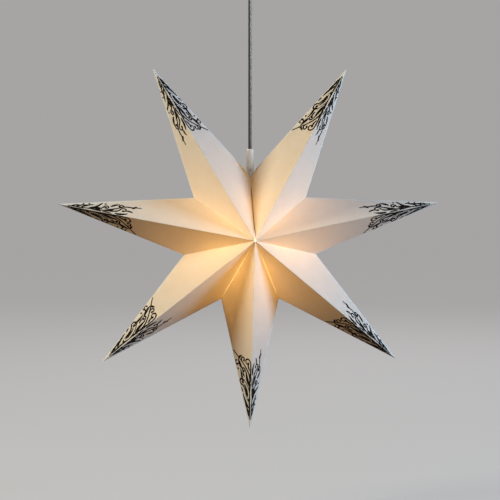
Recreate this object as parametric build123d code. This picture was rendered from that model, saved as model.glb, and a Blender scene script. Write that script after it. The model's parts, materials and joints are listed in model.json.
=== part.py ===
"""Folding paper star lantern, seven points, on a pendant lampholder and a ceiling cup.

Millimetres, +Z up. The origin is the middle of the ceiling face that the cup is held against.
The star hangs below it and faces -Y. Its 28 triangular panels turn about their creases.
"""
from build123d import *
from math import cos, radians, sin, tan
import os

# ---- driving dimensions ----------------------------------------------------------------
# star, measured on the inner surface of the card
TIP_RADIUS = 319.0          # spine to a point's tip
VALLEY_RADIUS = 112.6       # spine to the notch between two points
HALF_DEPTH = 100.0          # mid-plane to the front or back apex
POINT_PITCH = 50.0          # angle from one point to the next; the two beside the seam stand 60 apart
SEAM_HALF_ANGLE = 30.0      # from the seam to the points beside it
CARD = 0.4                  # thickness of the card
STAR_DROP = 468.0           # ceiling to the star's centre

# clearances between panels
CREASE_GAP = 0.05           # from a panel's edge to its hinge line
VALLEY_GAP = 0.45           # the same along a valley, where the card is slit
LOOP_GAP = 0.6              # along the back ridges, which no hinge joins
APEX_CUT = 4.0              # corner taken off at the apex
TIP_CUT = 1.0               # corner taken off at the tip
NOTCH_CUT = 1.6             # corner taken off at the notch

# seam at the top: two tabs face to face with round fasteners between them
SEAM_SPACE = 1.0
TAB_WIDTH = 11.0
TAB_START_WIDTH = 2.5       # the tabs taper towards the apex, clear of each other when folded
TAB_STARTS = 0.04           # shares of the way from apex to notch
TAB_FULL_FROM = 0.36
TAB_STEM_ROOM = 16.0        # the tabs stop this far from the mid-plane
FASTENER_RADIUS = 4.5
FASTENER_SHARES = (0.48, 0.75)
FASTENER_GAP = 0.1
HOLE_HALF_DEPTH = 9.0       # hole for the stem: from the mid-plane, along the seam
HOLE_HALF_WIDTH = 21.5      # and from the seam, along the tip-to-notch crease

# stem, lampholder and bulb, as heights above the star's centre
RUN_GAP = 0.1               # between round pieces that fit into each other
STEM_RADIUS = 6.5
STEM_BORE = 4.5
STEM_TOP = 145.0
STEM_BOTTOM = 71.0
STEM_RIM = 2.0              # how far the bush stands out of the stem
STEM_CAP_DEPTH = 8.0
GRIP_SCREW_HEIGHT = 110.0
HOLDER_RADIUS = 13.5
HOLDER_WALL = 1.5
HOLDER_TOP = 70.0
HOLDER_BOTTOM = 28.0
HOLDER_SHOULDER = 5.0
NIPPLE_HEIGHT = 8.0         # of the holder's neck inside the stem
NIPPLE_WALL = 1.2
SHELL_RADIUS = 7.2
SHELL_WALL = 0.7
SHELL_TOP = 54.0
CONTACT_STRIP = (9.0, 3.0, 0.5)
CONTACT_TONGUE = (4.0, 3.0, 0.7)
CAP_RADIUS = 6.6
CAP_WALL = 1.2
CAP_BOTTOM = 32.0
CAP_TOP = 51.0
BUTTON_RADIUS = 2.4
THREAD_PITCH = 2.82
THREAD_DEPTH = 0.45
GLOBE_RADIUS = 22.5
GLOBE_WALL = 1.2
COLLAR_BOTTOM = 17.0
COLLAR_RADIUS = 13.0
COLLAR_WALL = 1.8

# cord and ceiling fitting, as heights below the ceiling
CORD_RADIUS = 3.0
CORD_BELOW_SCREW = 12.0     # length of cord past the grip screw
CUP_RADIUS = 45.0
CUP_DEPTH = 52.0
CUP_WALL = 2.0
CUP_ROUND = 14.0
PIVOT_DROP = 56.0           # where the hanging cord bends
SWING_GAP = 2.0             # between the fixed tail and the hanging cord
SWING = 20.0                # degrees that the bush's mouth leaves to the cord
BUSH_RADIUS = 8.0
BUSH_FLANGE = 11.0
BUSH_LIP = 2.0              # thickness of the flange under the cup
BUSH_RISE = 4.0             # and how far the bush stands above the cup's floor
BUSH_MOUTH = 6.0            # depth of the bell mouth below the pivot
TAIL_TOP = 30.0             # where the cord's jacket ends inside the cup
CONDUCTOR_RADIUS = 0.9
CONDUCTOR_OFFSET = 1.6
TERMINAL_BODY = (14.0, 12.0, 13.0)
TERMINAL_DROP = 16.0        # ceiling to the terminal block's middle
CLAMP_BLOCK = (16.0, 14.0, 8.0)
CLAMP_SCREW_OFFSET = 5.0
BRACKET_LENGTH = 84.0
BRACKET_WIDTH = 18.0
BRACKET_SHEET = 2.0
EAR_LENGTH = 16.0
EAR_WIDTH = 12.0
FIXING_SPACING = 60.0
FIXING_HOLE_RADIUS = 2.5
CUP_SCREW_DROP = EAR_LENGTH / 2 + BRACKET_SHEET
SCREW_RADIUS = 1.5
SCREW_HEAD_RADIUS = 2.6
SCREW_HEAD = 1.6
SCREW_SLOT = 0.6

CENTRE = Vector(0, 0, -STAR_DROP)
OUT_FRONT = Vector(0, -1, 0)

# Points are numbered clockwise as seen from the front, starting right of the seam.
# Side a of a point is its anticlockwise side, so point 1 side a and point 7 side b meet at the seam.
POINTS = range(1, 8)
TIP_AZIMUTH = {k: 90 - SEAM_HALF_ANGLE - POINT_PITCH * (k - 1) for k in POINTS}


# ---- the star's corners ----------------------------------------------------------------
def spoke(azimuth, radius):
    """Point in the star's mid-plane; azimuth is anticlockwise from +X, seen from the front."""
    return CENTRE + Vector(cos(radians(azimuth)), 0, sin(radians(azimuth))) * radius


def apex(face):
    return CENTRE + OUT_FRONT * (HALF_DEPTH if face == "front" else -HALF_DEPTH)


def tip(k):
    return spoke(TIP_AZIMUTH[k], TIP_RADIUS)


def at_seam(k, side):
    return (k, side) in ((1, "a"), (7, "b"))


def notch(k, side):
    """Inner end of the tip-to-notch crease; at the seam the panel is widened to the seam's plane."""
    turn = 1 if side == "a" else -1
    corner = spoke(TIP_AZIMUTH[k] + turn * POINT_PITCH / 2, VALLEY_RADIUS)
    if not at_seam(k, side):
        return corner
    along = corner - tip(k)
    return tip(k) + along * (-tip(k).X / along.X)


def outward(face, k, side):
    """Unit normal of a panel, away from the inside of the star."""
    normal = (tip(k) - apex(face)).cross(notch(k, side) - apex(face)).normalized()
    return normal if normal.dot(apex(face) - CENTRE) > 0 else normal * -1


# ---- panels ----------------------------------------------------------------------------
def trim(outline, point, keep):
    """Cut a convex outline by the plane through point, keeping the side that keep points to."""
    kept = []
    for start, end in zip(outline, outline[1:] + outline[:1]):
        a, b = (start - point).dot(keep), (end - point).dot(keep)
        if a >= 0:
            kept.append(start)
        if a * b < 0:
            kept.append(start + (end - start) * (a / (a - b)))
    return kept


def pull_back(outline, start, end, normal, gap):
    """Trim an outline along its edge from start to end, by gap."""
    inside = normal.cross(end - start).normalized()
    middle = sum(outline, Vector()) * (1 / len(outline))
    if inside.dot(middle - start) < 0:
        inside = inside * -1
    return trim(outline, start + inside * gap, inside)


def cut_corner(outline, corner, neighbours, depth):
    """Take a corner off, square to the line that halves it."""
    halfway = sum(((n - corner).normalized() for n in neighbours), Vector()).normalized()
    return trim(outline, corner + halfway * depth, halfway)


def valley_half_angle(face, k, side):
    """Angle between a panel and the plane that halves the valley beside it."""
    spine_to_notch = notch(k, side) - CENTRE
    across = (apex(face) - CENTRE).cross(spine_to_notch).normalized()
    angle = across.get_angle(outward(face, k, side))
    return min(angle, 180 - angle)


def stem_hole_edge(face):
    """Where the stem hole's edge meets the seam and the tip-to-notch crease, on side a of point 1."""
    notch_point = notch(1, "a")
    towards_apex = (apex(face) - notch_point) * (HOLE_HALF_DEPTH / HALF_DEPTH)
    towards_tip = tip(1) - notch_point
    return notch_point + towards_apex, notch_point + towards_tip * (HOLE_HALF_WIDTH / towards_tip.X)


def panel_outline(face, k, side):
    top, point, inner = apex(face), tip(k), notch(k, side)
    normal = outward(face, k, side)
    outline = [top, point, inner]
    ridge_gap = CREASE_GAP if face == "front" else LOOP_GAP
    outline = pull_back(outline, top, point, normal, ridge_gap)
    outline = pull_back(outline, point, inner, normal, CREASE_GAP)
    if at_seam(k, side):
        mirror = 1 if side == "a" else -1
        clear = SEAM_SPACE / 2 + 2 * CARD
        outline = trim(outline, Vector(mirror * clear, 0, 0), Vector(mirror, 0, 0))
        on_seam, on_crease = (Vector(mirror * p.X, p.Y, p.Z) for p in stem_hole_edge(face))
        inside = normal.cross(on_crease - on_seam).normalized()
        inside = inside if inside.dot(top - on_seam) > 0 else inside * -1
        outline = trim(outline, on_seam, inside)
    else:
        card_room = CARD / tan(radians(valley_half_angle(face, k, side)))
        outline = pull_back(outline, top, inner, normal, VALLEY_GAP + card_room)
        outline = cut_corner(outline, inner, (top, point), NOTCH_CUT)
    outline = cut_corner(outline, top, (point, inner), APEX_CUT)
    return cut_corner(outline, point, (top, inner), TIP_CUT)


def prism(outline, normal, thickness):
    return extrude(Face(Wire.make_polygon(outline)), amount=thickness, dir=normal)


def panel(face, k, side):
    return prism(panel_outline(face, k, side), outward(face, k, side), CARD)


# ---- hinge lines of the fold: a point on each and its direction ---------------------------
def ridge_line(k):
    """Front ridge, from the apex to the tip, on the card's inner surface."""
    return apex("front"), (tip(k) - apex("front")).normalized()


def crease_line(k, side):
    """Tip-to-notch crease, on the card's inner surface."""
    return tip(k), (notch(k, side) - tip(k)).normalized()


def valley_line(k):
    """Front valley between point k and point k + 1, on the card's outer surface."""
    top, inner = apex("front"), notch(k, "b")
    along = (inner - top).normalized()
    across = along.cross(OUT_FRONT).normalized()
    rise = across.cross(along)
    rise = rise if rise.dot(OUT_FRONT) > 0 else rise * -1
    return top + rise * (CARD / rise.dot(outward("front", k, "b"))), along


# ---- seam ------------------------------------------------------------------------------
def seam_edge(face):
    """The seam's edge in the plane x = 0: its start at the apex, its run, and the way into the star."""
    top = apex(face)
    along = notch(1, "a") - top
    inwards = Vector(1, 0, 0).cross(along).normalized()
    return top, along, inwards if inwards.dot(CENTRE - top) > 0 else inwards * -1


def seam_tab(face, side):
    """Strip folded inwards along the seam edge of point 1 side a or point 7 side b."""
    mirror = 1 if side == "a" else -1
    top, along, inwards = seam_edge(face)
    stop = top + along * (1 - TAB_STEM_ROOM / HALF_DEPTH)
    square_stop = stop + inwards * TAB_WIDTH - along * (inwards.Y * TAB_WIDTH / along.Y)
    outline = [top + along * TAB_STARTS, stop, square_stop,
               top + along * TAB_FULL_FROM + inwards * TAB_WIDTH,
               top + along * TAB_STARTS + inwards * TAB_START_WIDTH]
    shift = Vector(mirror * SEAM_SPACE / 2, 0, 0)
    return prism([p + shift for p in outline], Vector(mirror, 0, 0), CARD)


def fasteners(face, side):
    """Two round fasteners on a tab: hooks on side b, loops on side a."""
    mirror = 1 if side == "a" else -1
    top, along, inwards = seam_edge(face)
    discs = []
    for share in FASTENER_SHARES:
        middle = top + along * share + inwards * (TAB_WIDTH / 2)
        start = middle + Vector(mirror * FASTENER_GAP / 2, 0, 0)
        plane = Plane(origin=start, x_dir=(0, 1, 0), z_dir=(mirror, 0, 0))
        discs.append(extrude(plane * Circle(FASTENER_RADIUS), amount=(SEAM_SPACE - FASTENER_GAP) / 2))
    return group(discs)


# ---- round pieces on the vertical axis ----------------------------------------------------
def group(shapes):
    """Separate solids in one node."""
    return Compound(children=[shape.solid() for shape in shapes])


def turned(profile, base=-STAR_DROP):
    """Revolve (radius, height) corners about the vertical axis; base lifts the heights."""
    points = [(r, h + base) for r, h in profile]
    return revolve(Plane.XZ * make_face(Polyline(*points, close=True)), Axis.Z)


def ring(inner, outer, low, high, base=-STAR_DROP):
    return turned([(inner, low), (outer, low), (outer, high), (inner, high)], base)


def rod(radius, low, high, base=-STAR_DROP):
    return Pos(0, 0, low + base) * extrude(Circle(radius), amount=high - low)


def screw(length):
    """Slotted screw along +Z; its shank starts at the origin and its head sits on the shank's end."""
    shank = extrude(Circle(SCREW_RADIUS), amount=length)
    head = Pos(0, 0, length) * extrude(Circle(SCREW_HEAD_RADIUS), amount=SCREW_HEAD)
    slot = Pos(0, 0, length + SCREW_HEAD) * Box(SCREW_SLOT, 2 * SCREW_HEAD_RADIUS, 1.4)
    return shank + head - slot


def ribs(root, depth, low, high, pitch):
    """Corners of a ribbed wall, from low to high: the thread as plain rings."""
    corners = []
    height = low
    while height + pitch <= high:
        corners += [(root, height), (root + depth, height + pitch / 2)]
        height += pitch
    return corners + [(root, height)]


def stem_tube():
    wall = ring(STEM_BORE, STEM_RADIUS, STEM_BOTTOM, STEM_TOP - STEM_RIM)
    bore = Rot(90, 0, 0) * extrude(Circle(SCREW_RADIUS + RUN_GAP), amount=2 * STEM_RADIUS)
    return wall - Pos(0, 0, GRIP_SCREW_HEIGHT - STAR_DROP) * bore


def stem_cap():
    """Bush in the stem's mouth that the cord passes through."""
    rim, foot = STEM_TOP - STEM_RIM, STEM_TOP - STEM_CAP_DEPTH
    bore, plug = CORD_RADIUS + RUN_GAP, STEM_BORE - RUN_GAP
    return turned([(bore, foot), (plug, foot), (plug, rim), (STEM_RADIUS, rim),
                   (STEM_RADIUS - 0.8, STEM_TOP), (bore + 0.5, STEM_TOP)])


def grip_screw():
    """Screw through the stem's front wall that clamps the cord."""
    start = CORD_RADIUS + RUN_GAP
    return Pos(0, -start, GRIP_SCREW_HEIGHT - STAR_DROP) * Rot(90, 0, 0) * screw(STEM_RADIUS - start)


def holder_shell():
    """Outer sleeve of the lampholder, closed above around the stem's nipple."""
    inside, neck = HOLDER_RADIUS - HOLDER_WALL, STEM_BORE - RUN_GAP
    shoulder = HOLDER_RADIUS - HOLDER_SHOULDER
    return turned([(HOLDER_RADIUS, HOLDER_BOTTOM), (HOLDER_RADIUS, HOLDER_TOP - HOLDER_SHOULDER),
                   (shoulder, HOLDER_TOP), (neck, HOLDER_TOP), (neck, HOLDER_TOP + NIPPLE_HEIGHT),
                   (neck - NIPPLE_WALL, HOLDER_TOP + NIPPLE_HEIGHT),
                   (neck - NIPPLE_WALL, HOLDER_TOP - HOLDER_WALL), (shoulder - 1, HOLDER_TOP - HOLDER_WALL),
                   (inside, HOLDER_TOP - HOLDER_SHOULDER - 1), (inside, HOLDER_BOTTOM)])


def holder_insert():
    """Insulating body that carries the screw shell and the contact."""
    outside = HOLDER_RADIUS - HOLDER_WALL - RUN_GAP
    skirt = SHELL_RADIUS + SHELL_WALL + RUN_GAP
    ledge, floor, top = HOLDER_BOTTOM + 6, SHELL_TOP + 2, HOLDER_TOP - 8
    return turned([(0, floor), (skirt, floor), (skirt, ledge), (outside, ledge), (outside, top), (0, top)])


def screw_shell():
    """Threaded brass sleeve that the bulb screws into."""
    inner = ribs(SHELL_RADIUS, THREAD_DEPTH, CAP_BOTTOM, SHELL_TOP, THREAD_PITCH)
    outer_radius = SHELL_RADIUS + SHELL_WALL
    return turned(inner + [(outer_radius, inner[-1][1]), (outer_radius, CAP_BOTTOM)])


def centre_contact():
    """Springy strip above the bulb's tip."""
    tongue_drop = (CONTACT_STRIP[2] + CONTACT_TONGUE[2]) / 2
    strip = Box(*CONTACT_STRIP) + Pos(1.5, 0, -tongue_drop) * Box(*CONTACT_TONGUE)
    return Pos(0, 0, SHELL_TOP + 2 - CONTACT_STRIP[2] / 2 - STAR_DROP) * strip


def bulb_cap():
    """Small screw cap with ring threads."""
    outer = ribs(CAP_RADIUS - THREAD_DEPTH, THREAD_DEPTH, CAP_BOTTOM, CAP_TOP, THREAD_PITCH)
    inside = CAP_RADIUS - CAP_WALL
    return turned([(inside, CAP_BOTTOM)] + outer + [(inside, outer[-1][1])])


def bulb_tip():
    """Black insulator and contact button on the cap."""
    plug = CAP_RADIUS - CAP_WALL - RUN_GAP
    return turned([(0, CAP_TOP - 4), (plug, CAP_TOP - 4), (plug, CAP_TOP),
                   (BUTTON_RADIUS, CAP_TOP + 1.2), (BUTTON_RADIUS, CAP_TOP + 2), (0, CAP_TOP + 2)])


def bulb_collar():
    """Plastic body between the cap and the globe."""
    spigot, socket = CAP_RADIUS - CAP_WALL - RUN_GAP, COLLAR_RADIUS - COLLAR_WALL
    top = CAP_BOTTOM - RUN_GAP
    return turned([(0, CAP_BOTTOM + 5), (0, COLLAR_BOTTOM + 4), (socket, COLLAR_BOTTOM + 4),
                   (socket, COLLAR_BOTTOM), (COLLAR_RADIUS, COLLAR_BOTTOM),
                   (COLLAR_RADIUS - 1.0, COLLAR_BOTTOM + 6), (CAP_RADIUS, top), (spigot, top),
                   (spigot, CAP_BOTTOM + 5)])


def bulb_globe():
    """Opal globe, a thin shell, open where the collar holds it."""
    mouth = COLLAR_RADIUS - COLLAR_WALL - RUN_GAP
    cut, foot = COLLAR_BOTTOM - RUN_GAP, COLLAR_BOTTOM - 1.5
    reach = (GLOBE_RADIUS ** 2 - cut ** 2) ** 0.5
    shell = Sphere(GLOBE_RADIUS) - Sphere(GLOBE_RADIUS - GLOBE_WALL)
    shell = shell - Pos(0, 0, cut + GLOBE_RADIUS) * Box(*[3 * GLOBE_RADIUS] * 2, 2 * GLOBE_RADIUS)
    shoulder = ring(mouth - GLOBE_WALL, reach, foot, cut, 0) & Sphere(GLOBE_RADIUS)
    lip = ring(mouth - GLOBE_WALL, mouth, foot, COLLAR_BOTTOM + 4 - RUN_GAP, 0)
    return Pos(0, 0, -STAR_DROP) * (shell + shoulder + lip)


# ---- cord and ceiling fitting, heights measured from the ceiling ---------------------------
CORD_END = STAR_DROP - GRIP_SCREW_HEIGHT + CORD_BELOW_SCREW
CLAMP_FOOT = -CUP_DEPTH + CUP_WALL + BUSH_RISE + RUN_GAP


def mains_cord():
    """Hanging stretch, from its bend in the bush to its end inside the stem."""
    return rod(CORD_RADIUS, -CORD_END, -PIVOT_DROP, 0)


def cord_tail():
    """Fixed stretch inside the cup."""
    return rod(CORD_RADIUS, -PIVOT_DROP + SWING_GAP, -TAIL_TOP, 0)


def conductors():
    """Two insulated conductors from the jacket's end into the terminal block."""
    return group(Pos(x, 0, 0) * rod(CONDUCTOR_RADIUS, -TAIL_TOP, -TAIL_TOP + 8, 0)
                 for x in (-CONDUCTOR_OFFSET, CONDUCTOR_OFFSET))


def terminal_block():
    """Block with a way for each conductor below and a screw hole for each in front."""
    body = Pos(0, 0, -TERMINAL_DROP) * Box(*TERMINAL_BODY)
    for side in (-1, 1):
        body = body - Pos(side * CONDUCTOR_OFFSET, 0, -TAIL_TOP + 7) * Box(2.2, 2.2, 3)
        hole = Rot(90, 0, 0) * extrude(Circle(SCREW_RADIUS + RUN_GAP), amount=3)
        body = body - Pos(side * 3.5, -TERMINAL_BODY[1] / 2 + 0.5, -TERMINAL_DROP) * hole
    return body


def ceiling_cup():
    """Cup with a rounded lower edge, open at the ceiling."""
    def dome(radius, depth, rounding):
        floor = Line((0, -depth), (radius - rounding, -depth))
        corner = RadiusArc((radius - rounding, -depth), (radius, -depth + rounding), -rounding)
        wall = Line((radius, -depth + rounding), (radius, 0))
        outline = floor + corner + wall + Line((radius, 0), (0, 0)) + Line((0, 0), (0, -depth))
        return revolve(Plane.XZ * make_face(outline), Axis.Z)
    cup = dome(CUP_RADIUS, CUP_DEPTH, CUP_ROUND)
    cup = cup - dome(CUP_RADIUS - CUP_WALL, CUP_DEPTH - CUP_WALL, CUP_ROUND - CUP_WALL)
    cup = cup - rod(BUSH_RADIUS + RUN_GAP, -CUP_DEPTH - 1, -CUP_DEPTH + CUP_WALL + 1, 0)
    for turn in (0, 180):
        hole = Rot(0, 0, turn) * Pos(CUP_RADIUS - 3 * CUP_WALL, 0, -CUP_SCREW_DROP) * Rot(0, 90, 0)
        cup = cup - hole * extrude(Circle(SCREW_RADIUS + RUN_GAP), amount=5 * CUP_WALL)
    return cup


def cord_bush():
    """Bush in the cup's floor with a bell mouth that lets the cord swing."""
    mouth = CORD_RADIUS + 0.7
    low, pivot = -PIVOT_DROP - BUSH_MOUTH, -PIVOT_DROP
    flare = mouth + BUSH_MOUTH * tan(radians(SWING)) + 0.4
    top, seat = -CUP_DEPTH + CUP_WALL + BUSH_RISE, -CUP_DEPTH - RUN_GAP
    return turned([(mouth, top), (mouth, pivot), (flare, low), (flare + 1.4, low),
                   (BUSH_FLANGE, -CUP_DEPTH - BUSH_LIP), (BUSH_FLANGE, seat), (BUSH_RADIUS, seat),
                   (BUSH_RADIUS, top)], 0)


def cord_clamp():
    """Block that grips the tail and rests on the bush, carrying the lamp's weight."""
    middle = CLAMP_FOOT + CLAMP_BLOCK[2] / 2
    block = Pos(0, 0, middle) * Box(*CLAMP_BLOCK)
    block = block - rod(CORD_RADIUS + RUN_GAP / 2, CLAMP_FOOT - 1, CLAMP_FOOT + CLAMP_BLOCK[2] + 1, 0)
    for side in (-1, 1):
        hole = Rot(90, 0, 0) * Cylinder(SCREW_RADIUS + RUN_GAP, 2 * CLAMP_BLOCK[1])
        block = block - Pos(side * CLAMP_SCREW_OFFSET, 0, middle) * hole
    return block


def clamp_screws():
    """The two screws of the clamp, from its front."""
    middle = CLAMP_FOOT + CLAMP_BLOCK[2] / 2
    reach = CLAMP_BLOCK[1] - 2
    start = -CLAMP_BLOCK[1] / 2 - RUN_GAP + reach
    return group(Pos(side * CLAMP_SCREW_OFFSET, start, middle) * Rot(90, 0, 0) * screw(reach)
                 for side in (-1, 1))


def ceiling_bracket():
    """Steel strap with two holes for ceiling screws and an ear at each end for the cup's screws."""
    strap = Pos(0, 0, -BRACKET_SHEET / 2) * Box(BRACKET_LENGTH, BRACKET_WIDTH, BRACKET_SHEET)
    for x in (-FIXING_SPACING / 2, FIXING_SPACING / 2):
        strap = strap - Pos(x, 0, 0) * rod(FIXING_HOLE_RADIUS, -2 * BRACKET_SHEET, BRACKET_SHEET, 0)
    ear_middle = BRACKET_LENGTH / 2 - BRACKET_SHEET / 2
    ear = Pos(ear_middle, 0, -EAR_LENGTH / 2) * Box(BRACKET_SHEET, EAR_WIDTH, EAR_LENGTH)
    hole = Pos(ear_middle, 0, -CUP_SCREW_DROP) * Rot(0, 90, 0) * Cylinder(SCREW_RADIUS + RUN_GAP, 8)
    for turn in (0, 180):
        strap = strap + Rot(0, 0, turn) * ear
        strap = strap - Rot(0, 0, turn) * hole
    return strap


def cup_screws():
    """Two screws through the cup's wall into the bracket's ears."""
    reach = 8.0
    start = CUP_RADIUS + RUN_GAP - reach
    return group(Rot(0, 0, turn) * Pos(start, 0, -CUP_SCREW_DROP) * Rot(0, 90, 0) * screw(reach)
                 for turn in (0, 180))


def all_nodes():
    nodes = {}
    for face in ("front", "back"):
        for k in POINTS:
            for side in "ab":
                nodes[f"point_{k}_{face}_{side}"] = panel(face, k, side)
        for side in "ab":
            nodes[f"seam_tab_{face}_{side}"] = seam_tab(face, side)
            kind = "loop" if side == "a" else "hook"
            nodes[f"{kind}_fasteners_{face}"] = fasteners(face, side)
    lamp = (stem_tube, stem_cap, grip_screw, holder_shell, holder_insert, screw_shell, centre_contact)
    bulb = (bulb_cap, bulb_tip, bulb_collar, bulb_globe)
    fitting = (mains_cord, cord_tail, conductors, terminal_block, ceiling_cup, cord_bush, cord_clamp,
               clamp_screws, ceiling_bracket, cup_screws)
    for make in lamp + bulb + fitting:
        nodes[make.__name__] = make()
    return nodes


def print_hinges():
    """The lines that the panels turn about: a point and a direction for each."""
    lines = {f"ridge {k}": ridge_line(k) for k in POINTS}
    lines |= {f"valley {k}-{k + 1}": valley_line(k) for k in POINTS if k + 1 in POINTS}
    lines |= {f"crease {k} {side}": crease_line(k, side) for k in POINTS for side in "ab"}
    for name, (point, along) in lines.items():
        print(name, "through", [round(v, 2) for v in point], "along", [round(v, 4) for v in along])


os.makedirs("parts", exist_ok=True)
for name, shape in all_nodes().items():
    export_step(shape, f"parts/{name}.step")
print_hinges()
print(f"cord: straight, {CORD_END - PIVOT_DROP:.0f} mm hanging, no bends")
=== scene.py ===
"""Looks of the folding paper star lantern: card panels lit from inside, printed scrolls, cord and fitting.

Metres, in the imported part's frame: +Z up, the star's front apex towards -Y, the ceiling face at z = 0.
"""
import bmesh
import bpy
import json
import numpy as np
from math import cos, pi, radians, sin, sqrt
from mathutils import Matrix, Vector
from mathutils.geometry import delaunay_2d_cdt


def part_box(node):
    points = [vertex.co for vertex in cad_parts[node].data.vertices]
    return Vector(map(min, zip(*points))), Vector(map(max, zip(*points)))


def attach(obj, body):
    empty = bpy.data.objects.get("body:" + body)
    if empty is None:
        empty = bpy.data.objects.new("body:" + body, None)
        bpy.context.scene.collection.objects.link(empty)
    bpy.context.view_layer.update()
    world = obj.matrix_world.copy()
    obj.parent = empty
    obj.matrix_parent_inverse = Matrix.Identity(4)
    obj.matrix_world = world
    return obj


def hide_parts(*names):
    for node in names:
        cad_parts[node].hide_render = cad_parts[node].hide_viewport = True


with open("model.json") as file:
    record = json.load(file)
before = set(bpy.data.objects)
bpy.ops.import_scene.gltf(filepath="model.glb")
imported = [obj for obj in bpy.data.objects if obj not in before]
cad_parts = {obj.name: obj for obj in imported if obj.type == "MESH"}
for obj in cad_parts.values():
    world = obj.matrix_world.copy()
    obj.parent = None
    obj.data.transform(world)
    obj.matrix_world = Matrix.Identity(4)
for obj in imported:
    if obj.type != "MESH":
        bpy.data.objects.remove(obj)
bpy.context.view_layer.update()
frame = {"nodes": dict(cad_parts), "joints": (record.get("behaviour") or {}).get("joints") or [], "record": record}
joints = {j["name"]: j for j in frame["joints"]}

# ---- places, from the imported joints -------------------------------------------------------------
POINTS = range(1, 8)
FRONT_APEX = Vector(joints["star_fold"]["pos_m"])
CENTRE = Vector((0, 0, FRONT_APEX.z))
CEILING_PIVOT = Vector(joints["pendant_swing"]["pos_m"])
STEM_TOP = Vector(joints["pendant_turn"]["pos_m"])
MM = 0.001

# ---- camera and cord ----------------------------------------------------------------------------
VIEW_AZIMUTH = radians(-4.9)
VIEW_ELEVATION = radians(4.2)
CAMERA_DISTANCE = 3.2
VIEW_WIDTH = 0.827          # what the picture spans at the star's middle
AIM_BELOW_CENTRE = 0.022
SENSOR_WIDTH = 36.0         # mm
CORD_RADIUS = 0.003
CORD_HIDDEN = 0.022         # length inside the stem


def look_from(azimuth, elevation):
    """Unit vector from the star towards a viewer; azimuth 0 is in front."""
    return Vector((sin(azimuth) * cos(elevation), -cos(azimuth) * cos(elevation), sin(elevation)))


def make_camera():
    """Camera at the photograph's angle."""
    data = bpy.data.cameras.new("camera")
    data.sensor_width = SENSOR_WIDTH
    data.lens = SENSOR_WIDTH * CAMERA_DISTANCE / VIEW_WIDTH
    data.dof.use_dof = False
    camera = bpy.data.objects.new("camera", data)
    bpy.context.scene.collection.objects.link(camera)
    back = look_from(VIEW_AZIMUTH, VIEW_ELEVATION)
    camera.location = CENTRE - Vector((0, 0, AIM_BELOW_CENTRE)) + back * CAMERA_DISTANCE
    camera.rotation_mode = "QUATERNION"
    camera.rotation_quaternion = (-back).to_track_quat("-Z", "Y")
    bpy.context.scene.camera = camera


# ---- shader helpers -----------------------------------------------------------------------------
class Shader:
    """A material's node tree with short calls for the nodes that these finishes share."""

    def __init__(self, name):
        self.material = bpy.data.materials.new(name)
        self.material.use_nodes = True
        self.tree = self.material.node_tree
        self.tree.nodes.clear()
        self.out = self.tree.nodes.new("ShaderNodeOutputMaterial")
        self.coords = self.tree.nodes.new("ShaderNodeTexCoord").outputs["Object"]

    def node(self, kind, inputs=None, **settings):
        made = self.tree.nodes.new(kind)
        for key, value in settings.items():
            setattr(made, key, value)
        for key, value in (inputs or {}).items():
            self.feed(made.inputs[key], value)
        return made

    def feed(self, socket, value):
        if isinstance(value, bpy.types.NodeSocket):
            self.tree.links.new(value, socket)
        else:
            socket.default_value = value

    def noise(self, scale, detail=2.0, stretch=None, roughness=0.5):
        """Noise value from 0 to 1; scale is in cells per metre."""
        where = self.coords
        if stretch:
            where = self.node("ShaderNodeMapping", {"Vector": where, "Scale": stretch}).outputs[0]
        return self.node("ShaderNodeTexNoise", {"Vector": where, "Scale": scale, "Detail": detail,
                                                "Roughness": roughness}).outputs["Fac"]

    def remap(self, value, low, high, to_low, to_high):
        return self.node("ShaderNodeMapRange", {"Value": value, "From Min": low, "From Max": high,
                                                "To Min": to_low, "To Max": to_high}).outputs[0]

    def math(self, operation, a, b):
        return self.node("ShaderNodeMath", {0: a, 1: b}, operation=operation).outputs[0]

    def mix(self, factor, a, b):
        made = self.node("ShaderNodeMix", {0: factor}, data_type="RGBA")
        self.feed(made.inputs[6], a)
        self.feed(made.inputs[7], b)
        return made.outputs[2]

    def distance(self, name):
        """A distance stored on the mesh, in metres."""
        return self.node("ShaderNodeAttribute", attribute_name=name).outputs["Fac"]

    def bump(self, height, strength, depth):
        return self.node("ShaderNodeBump", {"Height": height, "Strength": strength,
                                            "Distance": depth}).outputs[0]

    def principled(self, inputs):
        return self.node("ShaderNodeBsdfPrincipled", inputs).outputs[0]

    def finish(self, surface):
        self.tree.links.new(surface, self.out.inputs["Surface"])
        return self.material


def tinted(colour, share):
    """The colour made lighter or darker, opaque."""
    return tuple(c * share for c in colour[:3]) + (1.0,)


BLOTCH = 90.0               # cells per metre of the mottling
DULLER, GLOSSIER = 0.08, 0.06  # how far the roughness strays from its mean
COAT_ROUGHNESS = 0.12


def solid_finish(name, colour, roughness, grain=900.0, grain_depth=0.00004, vary=0.12, stretch=None,
                 metallic=0.0, specular=0.5, coat=0.0, sheen=0.0):
    """Opaque moulded, cast or drawn stuff: mottled colour, uneven gloss and a fine grain."""
    s = Shader(name)
    blotch = s.noise(BLOTCH, 3.0, stretch)
    fine = s.noise(grain, 2.0, stretch)
    base = s.mix(blotch, tinted(colour, 1 - vary), tinted(colour, 1 + vary))
    rough = s.remap(fine, 0.3, 0.7, max(roughness - GLOSSIER, 0.02), min(roughness + DULLER, 1.0))
    return s.finish(s.principled({"Base Color": base, "Roughness": rough, "Metallic": metallic,
                                  "Specular IOR Level": specular, "Coat Weight": coat,
                                  "Coat Roughness": COAT_ROUGHNESS, "Sheen Weight": sheen,
                                  "Normal": s.bump(fine, 0.35, grain_depth)}))


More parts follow.
